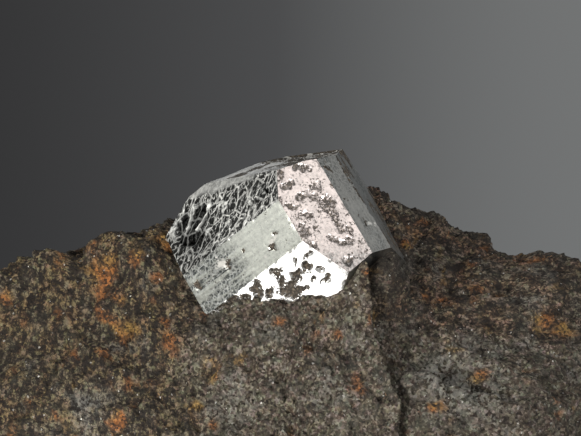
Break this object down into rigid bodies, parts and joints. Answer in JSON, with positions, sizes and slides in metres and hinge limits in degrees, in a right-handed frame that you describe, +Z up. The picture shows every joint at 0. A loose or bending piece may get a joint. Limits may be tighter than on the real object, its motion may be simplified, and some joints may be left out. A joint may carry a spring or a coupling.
{
  "type": "cobaltite crystal on matrix rock",
  "caption": "Silvery cobaltite crystal with flat, pitted and etched faces, half sunk in a rough brown lump of matrix rock with a flat underside.",
  "frame": {"origin": "middle of the lump's flat underside", "axes": "+X along the length of the lump, +Y away from the viewer of the crystal's bright faces, +Z up"},
  "size_m": [0.0512, 0.0266, 0.0244],
  "materials": {
    "cobaltite": "bright silver-white crystal faces with a faint pink cast, partly etched and pitted",
    "matrix": "rough fine-grained rock with rust stains and small glints"
  },
  "bodies": {
    "root": {"cobaltite_crystal": "cobaltite", "matrix_rock": "matrix"}
  },
  "joints": []
}
